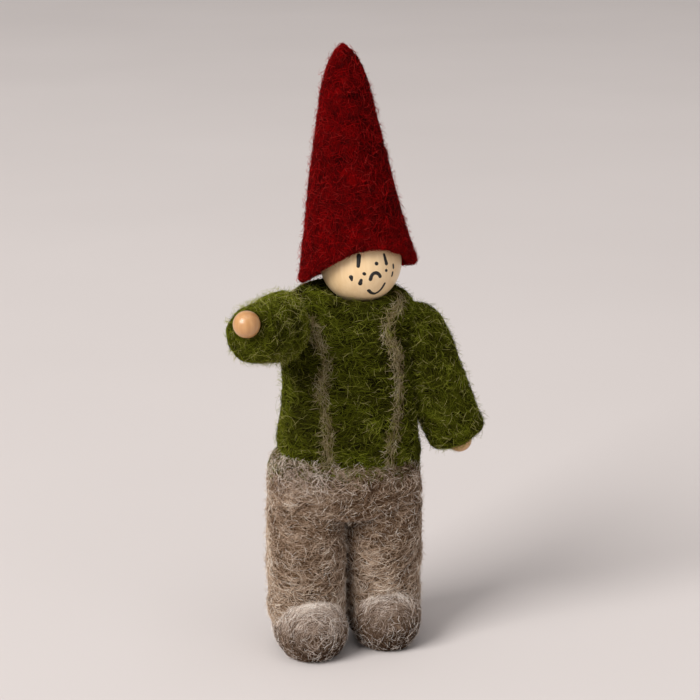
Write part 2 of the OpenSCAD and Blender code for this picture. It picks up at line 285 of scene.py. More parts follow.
def keep_off(path, centre, radius):
    """Pushes strands out of a ball."""
    away = path - centre
    far = np.linalg.norm(away, axis=-1, keepdims=True)
    return np.where(far < radius, centre + away * radius / np.maximum(far, 1e-6), path)


def strand_meshes(name, batches, materials, most=5600):
    """Meshes of thin three-sided strands. batches hold (path, normals, half width, shades)."""
    made, group, room = [], [], most
    for path, normals, width, shade in batches:
        weight = (path.shape[1] - 2) / 5  # a strand with more steps counts for more
        while len(path):
            take = min(len(path), max(1, int(room / weight)))
            group.append((path[:take], normals[:take], width[:take], shade[:take]))
            path, normals, width, shade = path[take:], normals[take:], width[take:], shade[take:]
            room -= take * weight
            if room < 1:
                made.append(strand_mesh(f"{name}_{len(made) + 1}", group, materials))
                group, room = [], most
    if group:
        made.append(strand_mesh(f"{name}_{len(made) + 1}", group, materials))
    return made


def strand_mesh(name, batches, materials):
    verts, corners, starts, totals, shades = [], [], [], [], []
    base = loop = 0
    for path, normals, width, shade in batches:
        count, steps = path.shape[:2]
        if not count:
            continue
        along = unit(np.gradient(path, axis=1))
        side = unit(np.cross(along, normals))
        out = np.cross(side, along)
        t = np.linspace(0, 1, steps)[1:-1]
        wide = width.reshape(-1, 1) * (0.55 + 0.45 * np.sin(np.pi * t))[None]
        rings = []
        for angle in (math.pi / 2, math.pi * 7 / 6, math.pi * 11 / 6):
            shift = side[:, 1:-1] * math.cos(angle) + out[:, 1:-1] * math.sin(angle)
            rings.append(path[:, 1:-1] + shift * wide[..., None])
        rings = np.stack(rings, 2)
        body = rings.reshape(count, -1, 3)
        points = np.concatenate([path[:, :1], body, path[:, -1:]], axis=1)
        points[..., 2] = np.maximum(points[..., 2], GROUND * 0.5)
        per = points.shape[1]
        tris, quads = [], []
        for k in range(3):
            j = (k + 1) % 3
            tris.append([0, 1 + j, 1 + k])
            last = 1 + (steps - 3) * 3
            tris.append([last + k, last + j, per - 1])
            for r in range(steps - 3):
                quads.append([1 + r * 3 + k, 1 + r * 3 + j, 4 + r * 3 + j, 4 + r * 3 + k])
        pattern = np.concatenate([np.ravel(tris), np.ravel(quads)])
        sizes = np.array([3] * len(tris) + [4] * len(quads))
        offsets = base + np.arange(count)[:, None] * per
        corners.append((pattern[None] + offsets).ravel())
        begin = np.concatenate([[0], np.cumsum(sizes)[:-1]])
        starts.append((begin[None] + loop + np.arange(count)[:, None] * len(pattern)).ravel())
        totals.append(np.tile(sizes, count))
        shades.append(np.repeat(np.asarray(shade, int), len(sizes)))
        verts.append(points.reshape(-1, 3))
        base += count * per
        loop += count * len(pattern)
    verts = np.concatenate(verts) * MM
    corners, starts, totals = (np.concatenate(x) for x in (corners, starts, totals))
    mesh = bpy.data.meshes.new(name)
    mesh.vertices.add(len(verts))
    mesh.vertices.foreach_set("co", verts.astype(np.float32).ravel())
    mesh.loops.add(len(corners))
    mesh.loops.foreach_set("vertex_index", corners.astype(np.int32))
    mesh.polygons.add(len(starts))
    mesh.polygons.foreach_set("loop_start", starts.astype(np.int32))
    mesh.polygons.foreach_set("loop_total", totals.astype(np.int32))
    mesh.polygons.foreach_set("use_smooth", [True] * len(starts))
    for m in materials:
        mesh.materials.append(m)
    mesh.polygons.foreach_set("material_index", np.concatenate(shades).astype(np.int32))
    mesh.update(calc_edges=True)
    obj = bpy.data.objects.new(name, mesh)
    bpy.context.scene.collection.objects.link(obj)
    return obj


def pick_shades(path, seed, shares, patch=6.0, strength=0.55, lighter=None):
    """A shade number for each strand: random, and drawn towards light or dark in patches."""
    rng = np.random.default_rng(seed)
    value = rng.random(len(path)) + strength * lumps(path[:, path.shape[1] // 2], patch, seed)
    value = (value + strength) / (1 + 2 * strength)
    if lighter is not None:
        value = value + lighter(path[:, path.shape[1] // 2])
    return np.searchsorted(np.cumsum(shares)[:-1] / np.sum(shares), np.clip(value, 0, 0.9999))


# ---------------------------------------------------------------- materials

def linear(rgb):
    """Linear colour of an sRGB colour given from 0 to 255."""
    c = np.array(rgb, float) / 255
    out = np.where(c <= 0.04045, c / 12.92, ((c + 0.055) / 1.055) ** 2.4)
    return (*out.tolist(), 1.0)


def new_material(name, **sockets):
    mat = bpy.data.materials.new(name)
    mat.use_nodes = True
    shader = mat.node_tree.nodes["Principled BSDF"]
    for key, value in sockets.items():
        shader.inputs[key.replace("_", " ")].default_value = value
    return mat, shader


def link(mat, a, b):
    mat.node_tree.links.new(a, b)


def add_node(mat, kind, **settings):
    node = mat.node_tree.nodes.new(kind)
    for key, value in settings.items():
        if key in node.inputs:
            node.inputs[key].default_value = value
        else:
            setattr(node, key, value)
    return node


def noise_node(mat, scale, detail=3.0, stretch=(1, 1, 1), turned=(0, 0, 0)):
    """Noise over the object's own coordinates; scale is per metre."""
    where = add_node(mat, "ShaderNodeTexCoord")
    mapping = add_node(mat, "ShaderNodeMapping")
    mapping.inputs["Scale"].default_value = stretch
    mapping.inputs["Rotation"].default_value = turned
    node = add_node(mat, "ShaderNodeTexNoise", Scale=scale, Detail=detail)
    link(mat, where.outputs["Object"], mapping.inputs["Vector"])
    link(mat, mapping.outputs["Vector"], node.inputs["Vector"])
    return node


def ramp_node(mat, source, stops):
    ramp = add_node(mat, "ShaderNodeValToRGB")
    elements = ramp.color_ramp.elements
    while len(elements) < len(stops):
        elements.new(0.5)
    for e, (at, rgb) in zip(elements, stops):
        e.position = at
        e.color = linear(rgb)
    link(mat, source, ramp.inputs["Fac"])
    return ramp


def felt_material(name, dark, middle, light):
    """Matted wool under the strands: fine fibre noise with a soft bump, darker than the strands as painted
    shade in the gaps between them.
    """
    mat, shader = new_material(name, Roughness=1.0, Specular_IOR_Level=0.03)
    patches = noise_node(mat, 260, 2.0)
    fine = noise_node(mat, 2600, 3.0, stretch=(1, 1, 0.3))
    mix = add_node(mat, "ShaderNodeMath", operation="MULTIPLY_ADD")
    mix.inputs[1].default_value = 0.55
    link(mat, fine.outputs["Fac"], mix.inputs[0])
    half = add_node(mat, "ShaderNodeMath", operation="MULTIPLY")
    half.inputs[1].default_value = 0.45
    link(mat, patches.outputs["Fac"], half.inputs[0])
    link(mat, half.outputs[0], mix.inputs[2])
    ramp = ramp_node(mat, mix.outputs[0], [(0.36, dark), (0.5, middle), (0.66, light)])
    link(mat, ramp.outputs["Color"], shader.inputs["Base Color"])
    bump = add_node(mat, "ShaderNodeBump", Strength=0.5, Distance=0.0003)
    link(mat, fine.outputs["Fac"], bump.inputs["Height"])
    link(mat, bump.outputs["Normal"], shader.inputs["Normal"])
    return mat


def shade_set(name, colours, roughness=0.85, level=0.08):
    """One plain material for each shade of strand, from dark to light."""
    made = []
    for k, rgb in enumerate(colours):
        mat, _ = new_material(f"{name}_{k}", Roughness=roughness, Specular_IOR_Level=level,
                              Base_Color=linear(rgb))
        made.append(mat)
    return made


def wood_material(name, pale, tan, roughness, coat):
    """Turned wood: faint growth rings round the grain and short pores, under a satin finish."""
    mat, shader = new_material(name, Roughness=roughness, Coat_Weight=coat, Coat_Roughness=0.25)
    broad = noise_node(mat, 90, 2.0, stretch=(1, 1, 0.25), turned=(0.25, 0.12, 0))
    pores = noise_node(mat, 900, 3.0, stretch=(1, 1, 0.08), turned=(0.25, 0.12, 0))
    mix = add_node(mat, "ShaderNodeMath", operation="MULTIPLY_ADD")
    mix.inputs[1].default_value = 0.4
    half = add_node(mat, "ShaderNodeMath", operation="MULTIPLY")
    half.inputs[1].default_value = 0.6
    link(mat, broad.outputs["Fac"], half.inputs[0])
    link(mat, pores.outputs["Fac"], mix.inputs[0])
    link(mat, half.outputs[0], mix.inputs[2])
    ramp = ramp_node(mat, mix.outputs[0], [(0.34, tan), (0.56, pale)])
    link(mat, ramp.outputs["Color"], shader.inputs["Base Color"])
    bump = add_node(mat, "ShaderNodeBump", Strength=0.06, Distance=0.0001)
    link(mat, pores.outputs["Fac"], bump.inputs["Height"])
    link(mat, bump.outputs["Normal"], shader.inputs["Normal"])
    return mat


def two_tone(name, dark, light, scale, roughness, metallic=0.0):
    """A plain procedural finish of two close tones for parts inside the doll."""
    mat, shader = new_material(name, Roughness=roughness, Metallic=metallic)
    ramp = ramp_node(mat, noise_node(mat, scale).outputs["Fac"], [(0.35, dark), (0.65, light)])
    link(mat, ramp.outputs["Color"], shader.inputs["Base Color"])
    return mat


# The felt skins are coloured darker than their strands: painted shade for the gaps between the strands.
GREEN_FELT_PAINTED_SHADE = felt_material("green_felt", (8, 7, 1), (24, 23, 2), (50, 50, 7))
RED_FELT_PAINTED_SHADE = felt_material("red_felt", (30, 0, 0), (68, 0, 1), (104, 1, 2))
TROUSER_FELT_PAINTED_SHADE = felt_material("trouser_felt", (38, 25, 16), (78, 58, 42), (124, 102, 82))
FOOT_FELT_PAINTED_SHADE = felt_material("foot_felt_painted_shade", (50, 35, 26), (98, 78, 62), (144, 124, 108))
GREENS = shade_set("green_wool", [
    (12, 10, 1), (36, 34, 3), (60, 60, 6), (82, 86, 12), (112, 119, 27), (148, 153, 56)])
PALE_GREEN = shade_set("pale_green_wool", [(116, 120, 36), (146, 145, 66), (176, 168, 108)])
REDS = shade_set("red_wool", [
    (44, 0, 0), (76, 0, 1), (106, 1, 1), (136, 2, 3), (170, 6, 8)])
PALE_RED = shade_set("pale_red_wool", [(132, 3, 5), (156, 10, 12), (172, 40, 36)])
BROWNS = shade_set("brown_wool", [
    (44, 28, 17), (92, 68, 50), (140, 114, 92), (184, 160, 138), (220, 202, 184),
    (242, 232, 220)])
GREYS = shade_set("grey_wool", [
    (64, 46, 34), (112, 91, 75), (160, 140, 124), (198, 181, 168), (226, 213, 202),
    (244, 236, 228)])
BRACES = shade_set("brace_wool", [
    (62, 52, 24), (96, 84, 48), (132, 117, 82), (164, 150, 118), (196, 184, 156)])
HEAD_WOOD = wood_material("head_wood", (234, 204, 160), (224, 190, 144), 0.42, 0.2)
HAND_WOOD = wood_material("hand_wood", (196, 148, 98), (172, 122, 74), 0.35, 0.4)
INK = two_tone("face_ink", (8, 7, 7), (20, 17, 15), 3000, 0.55)
PILE = two_tone("stem_pile", (178, 172, 164), (214, 210, 202), 1800, 0.95)
STEEL = two_tone("stem_wire", (150, 150, 152), (190, 190, 192), 1200, 0.3, 1.0)
BATTING = two_tone("core_wool", (206, 198, 182), (232, 226, 214), 700, 0.95)

for node_name, node_obj in frame["nodes"].items():
    inner = STEEL if node_name.endswith("_wire") else PILE if node_name.endswith("_stem") else BATTING
    node_obj.data.materials.clear()
    node_obj.data.materials.append(inner)


# ---------------------------------------------------------------- skins

def oval_rings(rows, n, wobble=None):
    """Level rings; a row is (z, middle x, middle y, half width, half depth, squareness)."""
    a = np.linspace(0, 2 * math.pi, n, endpoint=False)
    c, s = np.cos(a), np.sin(a)
    rings = []
    for z, x, y, w, d, square in rows:
        px = x + w * np.sign(c) * np.abs(c) ** (2 / square)
        py = y + d * np.sign(s) * np.abs(s) ** (2 / square)
        rings.append(np.stack([px, py, np.full(n, z)], 1))
    rings = np.array(rings)
    return wobble(rings, a) if wobble else rings


def tube_rings(line, radii, n, squash=(1.0, 1.0), side=None):
    """Rings square to a line; the second axis is near side."""
    along = unit(np.gradient(line, axis=0))
    side = np.array([1.0, 0, 0]) if side is None else side
    a = np.linspace(0, 2 * math.pi, n, endpoint=False)
    rings = []
    for p, d, r in zip(line, along, radii):
        e = across(side, d)
        f = np.cross(d, e)
        rings.append(p + r * (squash[0] * np.cos(a)[:, None] * e + squash[1] * np.sin(a)[:, None] * f))
    return np.array(rings)


def trunk_shape():
    cx, cy = TRUNK[0], TRUNK[1]
    rows = smooth_rows([
        (HEM_Z - 3.6, cx, cy, 17.0, 10.5, 2.5),
        (HEM_Z - 2.0, cx, cy, 20.6, 13.6, 2.5),
        (HEM_Z - 0.2, cx, cy, 21.6, 14.5, 2.5),
        (HEM_Z + 5, cx, cy, 21.6, 14.8, 2.5),
        (HEM_Z + 16, cx, cy, 20.6, 15.0, 2.4),
        (HEM_Z + 28, cx, cy, 20.0, 15.0, 2.4),
        (HEM_Z + 38, cx, cy, 20.2, 14.6, 2.4),
        (HEM_Z + 44.5, cx + 0.3, cy - 0.2, 20.8, 13.6, 2.3),
        (HEM_Z + 48.6, cx + 0.6, cy - 0.4, 19.0, 12.6, 2.2),
        (HEM_Z + 51.4, cx + 0.9, cy - 0.9, 16.0, 11.6, 2.1),
        (HEM_Z + 52.4, cx + 1.8, cy - 1.4, 12.0, 10.6, 2.0),
        (HEM_Z + 51.0, cx + 2.2, cy - 1.8, 9.6, 9.0, 2.0),
        (HEM_Z + 48.4, cx + 2.4, cy - 1.8, 6.6, 6.6, 2.0)], 96)

    def uneven(rings, a):
        z = rings[..., 2]
        hem = np.clip((HEM_Z + 9 - z) / 9, 0, 1)
        rings[..., 2] += hem * (-0.9 * np.cos(a) + 0.9 * np.cos(2 * a) + 0.5 * np.sin(5 * a))
        neck = np.clip((z - COLLAR_Z + 9) / 9, 0, 1)
        # The collar is high at the sides and back and dips in front under the bead
        rings[..., 2] += neck * (1.0 * np.cos(a) ** 2 - 0.8 * np.cos(a) + 1.4 * np.sin(a) - 0.2)
        return rings

    rings = oval_rings(rows, 128, uneven)
    first = np.array([cx, cy, HEM_Z - 4.2])
    last = rings[-1].mean(0) - 0.6 * UP
    return loft(rings, first, last)


def clear_of_head(verts):
    return keep_off(verts, HEAD, HEAD_R + 0.35)


SHOULDER_RISE = {"right": 2.6, "left": -0.6}
CUFF_DROP = {"right": 3.3, "left": 0.0}
CUFF_TAPER = {"right": 0.26, "left": 0.13}


def sleeve_line(side):
    a, b, c = SHOULDER[side] + SHOULDER_RISE[side] * UP, ELBOW[side], HAND[side]
    upper, fore = unit(b - a), unit(c - b)
    # The raised hand's bead sits above the middle of its cuff
    end = c - (0.62 if side == "right" else 0.25) * HAND_R * fore - CUFF_DROP[side] * UP
    line = smooth_rows([a - SLEEVE_R * upper, a, a + 0.5 * (b - a), b, b + 0.5 * (end - b), end], 60)
    return line, upper, fore, end


def sleeve_shape(side):
    line, upper, fore, end = sleeve_line(side)
    run = np.concatenate([[0], np.cumsum(np.linalg.norm(np.diff(line, axis=0), axis=1))])
    total = run[-1]
    ball = np.clip(run / SLEEVE_R, 0, 1)
    lip = np.clip((total - run) / 2.6, 0, 1)
    radii = (SLEEVE_R + 0.25) * np.sqrt(np.clip(1 - (1 - ball) ** 2, 0.0005, 1))
    radii *= 0.80 + 0.20 * np.sqrt(np.clip(1 - (1 - lip) ** 2, 0, 1))
    radii *= 1 - CUFF_TAPER[side] * np.clip((run / total - 0.45) / 0.55, 0, 1)
    rings = tube_rings(line[1:], radii[1:], 64)
    # The cuff turns in round the hand bead and leaves a hollow for it
    rim = radii[-1]
    inner = smooth_rows([(0.0, rim - 0.9), (0.2, rim - 1.3), (1.0, 4.9), (2.6, 4.5), (4.4, 4.2),
                         (5.0, 3.4)], 14)
    back = tube_rings(end - inner[:, :1] * fore, inner[:, 1], 64)
    rings = np.concatenate([rings, back[1:]])
    return loft(rings, line[0], end - 5.1 * fore)


def seat_shape():
    box = node_box("trouser_seat")
    cx, cy = (box[0][0] + box[1][0]) / 2, TRUNK[1]
    rows = smooth_rows([
        (HIP["left"][2] - 3.4, cx, cy, 9.0, 5.0, 2.3),
        (HIP["left"][2] - 2.6, cx, cy, 17.0, 9.5, 2.4),
        (HIP["left"][2] - 0.4, cx, cy, 22.0, 13.4, 2.5),
        (HIP["left"][2] + 4, cx, cy, 23.8, 15.0, 2.6),
        (HIP["left"][2] + 9, cx, cy, 23.6, 15.3, 2.6),
        (HIP["left"][2] + 14, cx + 0.1, cy, 22.8, 15.1, 2.5),
        (HIP["left"][2] + 17, cx + 0.3, cy, 21.2, 13.6, 2.5),
        (HIP["left"][2] + 19, cx + 0.3, cy, 17.5, 10.4, 2.4)], 44)
    rings = oval_rings(rows, 112)
    return loft(rings, np.array([cx, cy, HIP["left"][2] - 3.6]), rings[-1].mean(0) + 0.4 * UP)


def leg_shape(side):
    hip, ankle = HIP[side], ANKLE[side]
    out = np.sign(hip[0])
    top, low = hip + 7 * UP, ankle - 2.0 * UP
    drop = (top - low)[2]
    rows = []
    for share, w, d in ((0.0, 4.5, 5.5), (0.02, 8.6, 9.5), (0.10, 11.0, 12.2), (0.30, 11.7, 12.6),
                        (0.55, 11.9, 12.2), (0.70, 11.6, 11.9), (0.78, 11.9, 12.0),
                        (0.90, 11.4, 11.4), (0.97, 9.6, 9.6), (1.0, 6.0, 6.0)):
        p = top + share * (low - top)
        rows.append((p[2], p[0] + 0.25 * out * math.sin(math.pi * share), p[1], w, d, 2.1))
    rings = oval_rings(smooth_rows(rows, int(drop / 0.9))[::-1], 72)
    return loft(rings, rings[0].mean(0) - 0.3 * UP, top + 0.6 * UP)


FOOT = {s: node_box(f"{s}_foot_wool") for s in SIDES}


def foot_axis(side):
    """Middle line of a foot, from the heel to the toe, rising a little."""
    lo, hi = FOOT[side]
    x = (lo[0] + hi[0]) / 2
    heel = np.array([x, hi[1], 7.6])
    toe = np.array([x, lo[1], 9.0])
    return heel, toe


def foot_shape(side):
    heel, toe = foot_axis(side)
    lo, hi = FOOT[side]
    r = (hi[0] - lo[0]) / 2 - 0.7
    span = np.linalg.norm(toe - heel)
    s = (1 - np.cos(np.linspace(0, math.pi, 56))) / 2 * span
    near = np.minimum(s, span - s)
    radii = r * np.sqrt(np.clip(1 - (1 - np.clip(near / r, 0, 1)) ** 2, 0, 1))
    line = heel + (toe - heel) * (s / span)[:, None]
    rings = tube_rings(line[1:-1], radii[1:-1], 80, squash=(1.0, 0.97))
    return loft(rings, heel, toe)


def on_ground(verts):
    """Felt rests on the floor: it is pressed flat, and bulges a little beside the flat."""
    verts = verts.copy()
    z = verts[:, 2]
    soft = GROUND + 1.2 * np.log1p(np.exp((z - GROUND) / 1.2)) - 1.2 * math.log(2) * np.exp(
        -((z - GROUND) / 3) ** 2)
    verts[:, 2] = np.maximum(np.where(z < 4, soft, z), GROUND)
    return verts


HAT_FELT = 2.0
HAT_FLARE = 0.19
HAT_BLUNT = 4.95  # how much the tip is rounded out
HAT_OFFSET = np.array([0.5, 0.0])  # how far the hat's middle lies from the head's
HAT_LEAN = np.array([3.6, -6.0])  # how far the middle at the head lies from the middle at the tip


def hat_radius(depth):
    return HAT_FLARE * depth + HAT_BLUNT * (1 - np.exp(-depth / 5)) ** 0.8


def hat_middle(z):
    share = ((z - HEAD[2]) / (HAT_TIP_Z - HEAD[2]))[..., None]
    return (HEAD[:2] - HAT_OFFSET) - share * HAT_LEAN


def hat_brim(a):
    """Height of the hat's lower edge, high over the face, low at the sides and the back."""
    return 123.2 + 1.9 * np.cos(a) - 5.4 * np.sin(a) - 2.0 * np.cos(2 * a)


def hat_shape():
    n = 112
    a = np.linspace(0, 2 * math.pi, n, endpoint=False)
    rings = []

    def ring(share, inset, drop=0.0):
        top = HAT_TIP_Z - inset
        z = hat_brim(a) + (top - hat_brim(a)) * share - drop
        r = hat_radius(np.maximum(HAT_TIP_Z - z, 0.02)) - inset
        middle = hat_middle(z)
        # The cone's side bows out a little to the doll's right, as pulled felt does
        bow = 0.5 * np.sin(math.pi * np.clip(share, 0, 1))
        return np.stack([middle[:, 0] - bow + r * np.cos(a), middle[:, 1] + 0.9 * r * np.sin(a), z], 1)

    outside = 1 - (1 - np.linspace(0, 1, 92)[:-1]) ** 1.35
    for share in outside[::-1]:
        rings.append(ring(share, 0))
    for turn_in in (0.35, 0.8, 1.3, 1.7):  # the rounded edge of the felt
        rings.append(ring(0, turn_in, 0.55 * math.sin(math.pi * turn_in / HAT_FELT)))
    for share in (1 - (1 - np.linspace(0, 0.93, 50)) ** 1.35):
        rings.append(ring(share, HAT_FELT))
    rings = np.array(rings)
    tip = rings[0].mean(0)
    tip[2] = HAT_TIP_Z
    return loft(rings, tip, rings[-1].mean(0) + 0.3 * UP)


# ---------------------------------------------------------------- grains: which way fibres run

def level(points, normals):
    """Round the body, level."""
    return np.cross(normals, UP) + 1e-6


def round_axis(centre, axis):
    axis = unit(axis)

    def grain(points, normals):
        return np.cross(axis, points - centre) + 1e-6
    return grain


def mixed(first, second, weight):
    """The second grain where weight is 1, the first where it is 0."""
    def grain(points, normals):
        w = weight(points)[:, None]
        a, b = unit(first(points, normals)), unit(second(points, normals))
        b = b * np.where(np.sum(a * b, axis=1, keepdims=True) < 0, -1, 1)
        return (1 - w) * a + w * b
    return grain


def along(direction):
    def grain(points, normals):
        return np.broadcast_to(np.asarray(direction, float), points.shape) + 0 * points
    return grain


def swirled(grain, size, amount, seed):
    """A grain that drifts from side to side in patches, as carded wool does."""
    def made(points, normals):
        base = across(grain(points, normals), normals)
        return turn(base, normals, amount * lumps(points, size, seed))
    return made


# ---------------------------------------------------------------- coats

def coat(skin, name, seed, grain, tones, count, length=(6, 12), jitter=0.5, patch=5.0,
         width=(0.045, 0.08), shares=(1, 2, 3, 3, 2, 1), keep=None, avoid=None, fuzz=1500,
         fuzz_reach=2.3, pale=None, strays=12, lift=0.45, hold=0.18, curl=0.13, lighter=None):
    """The mat of strands over a skin, its soft fuzz, and a few long stray hairs."""
    rng = np.random.default_rng(seed + 77)
    materials = list(tones) + list(pale or [])
    batches = []
    mat = grow(skin, count, seed, grain, length, jitter=jitter, lift=lift, keep=keep, clump=4,
               spread=0.34, hold=hold, curl=curl)
    loose = grow(skin, count * 0.4, seed + 1, grain, length, jitter=jitter * 2.0, lift=lift * 1.9,
                 keep=keep, clump=1, hold=hold * 0.4, curl=curl * 2.2)
    halo = grow(skin, fuzz, seed + 2, grain, (1.6, 4.6), jitter=1.4, lift=0.3, reach=fuzz_reach,
                keep=keep, clump=1, hold=0.0, curl=0.26)
    long_hairs = grow(skin, strays / THIN, seed + 3, grain, (9, 18), jitter=0.9, lift=1.2,
                      reach=fuzz_reach * 1.3, keep=keep, clump=1, hold=0.0, curl=0.16, steps=14)
    for k, (path, normals) in enumerate((mat, loose, halo, long_hairs)):
        if avoid is not None:
            path = avoid(path)
        w = rng.uniform(*width, len(path)) * (1.0, 0.85, 0.62, 0.6)[k]
        if k < 2:
            shade = pick_shades(path, seed + 5 + k, shares, patch, lighter=lighter)
        elif pale:
            shade = len(tones) - 2 + rng.integers(0, 2 + len(pale), len(path))
            if k == 3:
                shade = len(tones) + rng.integers(0, len(pale), len(path))
        else:
            shade = rng.integers(len(tones) - 3, len(tones), len(path))
        batches.append((path, normals, w, shade))
    return strand_meshes(name, batches, materials)


def wisps(skin, count, seed, grain, length, width, shares, avoid=None, **how):
    """One batch of strands beside a coat."""
    path, normals = grow(skin, count, seed, grain, length, **how)
    if avoid is not None:
        path = avoid(path)
    half_width = np.random.default_rng(seed + 1).uniform(*width, len(path))
    return path, normals, half_width, pick_shades(path, seed + 2, shares)


# Sweater body
trunk = Felt("sweater_felt", trunk_shape(), GREEN_FELT_PAINTED_SHADE, 11, lump=0.4, settle=clear_of_head)
trunk_side = round_axis(TRUNK, UP)
collar_grain = round_axis(HEAD, NECK_DIR)
trunk_grain = swirled(mixed(level, collar_grain, lambda p: np.clip((p[:, 2] - COLLAR_Z + 12) / 9, 0, 1)),
                      9, 0.45, 21)


def head_clear(path):
    return keep_off(path, HEAD, HEAD_R + 0.15)


def clear_of(centre, radius):
    return lambda points: keep_off(points, centre, radius)


def near_cuff(centre, fore):
    """1 at the cuff, falling to 0 up the sleeve."""
    return lambda p: np.clip(1 + ((p - centre) @ fore + 3.5) / 3.5, 0, 1)


def half_way(p):
    return 0.5 + 0 * p[:, 0]


trunk_coat = coat(trunk, "sweater_wool", 101, trunk_grain, GREENS, 11500, length=(4, 9),
                  keep=lambda p: p[:, 2] > HEM_Z - 3.4, avoid=head_clear, fuzz=3000,
                  pale=PALE_GREEN, strays=22, fuzz_reach=2.8)
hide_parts("sweater_body")
for obj in (trunk.obj, *trunk_coat):
    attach(obj, "torso")

# Sleeves: each crosses its elbow
for k, side in enumerate(SIDES):
    line, upper, fore, end = sleeve_line(side)
    wrist = HAND[side]
    sleeve = Felt(f"{side}_sleeve_felt", sleeve_shape(side), GREEN_FELT_PAINTED_SHADE, 31 + k, lump=0.4,
                  settle=clear_of(wrist, HAND_R + 0.2))
    wrap = round_axis(ELBOW[side], fore)
    grain = swirled(mixed(along(fore), wrap, half_way), 10, 1.1, 41 + k)
    grain = mixed(grain, round_axis(wrist, fore), near_cuff(wrist, fore))
    # Strands are pushed out to 0.6 mm from the hand bead, beyond the felt at 0.2 mm, so a ring of dark felt
    # shows round the bead: painted shadow.
    hand_clear = clear_of(wrist, HAND_R + 0.6)
    wool = coat(sleeve, f"{side}_sleeve_wool", 201 + 10 * k, grain, GREENS, 7600, length=(4, 9),
                avoid=lambda path: head_clear(hand_clear(path)),
                fuzz=2200, pale=PALE_GREEN, strays=14, fuzz_reach=2.8)
    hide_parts(f"{side}_sleeve_upper", f"{side}_sleeve_lower")
    for obj in (sleeve.obj, *wool):
        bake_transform(obj)

# Trousers: the seat, and two legs that cross the hips
seat = Felt("trouser_seat_felt", seat_shape(), TROUSER_FELT_PAINTED_SHADE, 51, lump=0.45)
seat_grain = swirled(level, 9, 0.5, 61)
seat_coat = coat(seat, "trouser_seat_wool", 301, seat_grain, BROWNS, 6200, length=(4, 10), jitter=0.6,
                 keep=lambda p: (p[:, 2] < HEM_Z + 1.5) * 1.0, fuzz=2200, strays=10,
                 shares=(2, 3, 3, 3, 2, 1))
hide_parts("trouser_seat")
for obj in (seat.obj, *seat_coat):
    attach(obj, "torso")

def at_tuft(p):
    """A pale tuft pokes out under the hem at the doll's front right."""
    far = ((p[:, 0] - TRUNK[0] + 16) / 8) ** 2 + ((p[:, 2] - HEM_Z + 2.5) / 5) ** 2
    return np.exp(-far) * (p[:, 1] < TRUNK[1])


tuft_batch = wisps(seat, 520, 341, level, (2.5, 6), (0.045, 0.075), (0.5, 1, 3, 4, 3, 1),
                   jitter=1.3, lift=1.1, reach=1.6, curl=0.25, hold=0.0, keep=at_tuft)
tuft = strand_mesh("tuft_wool", [tuft_batch], GREYS)
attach(tuft, "torso")

hem_way = mixed(level, along(UP), lambda p: 0.55 + 0 * p[:, 0])
hem_batch = wisps(seat, 1500, 331, hem_way, (2.5, 7), (0.045, 0.075), (1, 2, 3, 3, 2, 1),
                  jitter=0.8, lift=1.0, curl=0.2, hold=0.1,
                  keep=lambda p: np.clip(1 - np.abs(p[:, 2] - HEM_Z + 0.9) / 3.0, 0, 1))
hem_strays = strand_mesh("hem_wool", [hem_batch], GREENS)
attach(hem_strays, "torso")

for k, side in enumerate(SIDES):
    leg = Felt(f"{side}_trouser_felt", leg_shape(side), TROUSER_FELT_PAINTED_SHADE, 71 + k, lump=0.45)
    wool = coat(leg, f"{side}_trouser_wool", 401 + 10 * k, swirled(level, 8, 0.45, 81 + k), BROWNS, 6400,
                length=(4, 10), jitter=0.5, fuzz=2400, strays=9, shares=(2, 3, 3, 3, 2, 1),
                lighter=lambda p: np.clip((HIP["left"][2] - p[:, 2]) / 30, 0, 1) * 0.16)
    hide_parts(f"{side}_trouser_leg")
    for obj in (leg.obj, *wool):
        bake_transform(obj)

# Feet: wool wound in rings round the toe, darker on the left foot
FOOT_SHARES = {"right": (2, 3, 3, 2.5, 1.5, 0.8), "left": (3, 4, 3, 1.5, 0.8, 0.3)}
for k, side in enumerate(SIDES):
    foot = Felt(f"{side}_foot_felt_painted_shade", foot_shape(side), FOOT_FELT_PAINTED_SHADE, 91 + k, lump=0.35, settle=on_ground)
    heel, toe = foot_axis(side)
    rings = swirled(round_axis(toe, toe - heel), 7, 0.25, 95 + k)
    wool = coat(foot, f"{side}_foot_winding", 501 + 10 * k, rings, GREYS, 4600, length=(5, 12),
                jitter=0.28, hold=0.45, curl=0.08, fuzz=1800, fuzz_reach=1.7, strays=6,
                shares=FOOT_SHARES[side],
                # Painted light and shade: strands high on each foot get lighter shades, and those low down
                # towards the floor get darker ones.
                lighter=lambda p: np.clip((p[:, 2] - 11) / 20, -0.45, 0.35))
    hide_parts(f"{side}_foot_wool")
    for obj in (foot.obj, *wool):
        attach(obj, f"{side}_foot")

# Hat
hat = Felt("hat_felt", hat_shape(), RED_FELT_PAINTED_SHADE, 111, lump=0.22)
hat_grain = swirled(mixed(level, along(UP), lambda p: 0.6 + 0 * p[:, 0]), 6, 1.6, 121)
hat_coat = coat(hat, "hat_wool", 601, hat_grain, REDS, 11000, length=(1.6, 4.5), jitter=1.2,
                width=(0.045, 0.075), shares=(2, 3, 3, 2, 1), lift=0.28, patch=3.0, avoid=head_clear,
                fuzz=6500, fuzz_reach=1.8, pale=PALE_RED, strays=30, curl=0.26)


def at_brim(p):
    """1 at the hat's lower edge, falling to 0 within 1.8 mm of it."""
    angle = np.arctan2(p[:, 1] - HEAD[1], p[:, 0] - HEAD[0])
    return np.clip(1 - np.abs(p[:, 2] - hat_brim(angle) - 0.4) / 1.8, 0, 1)


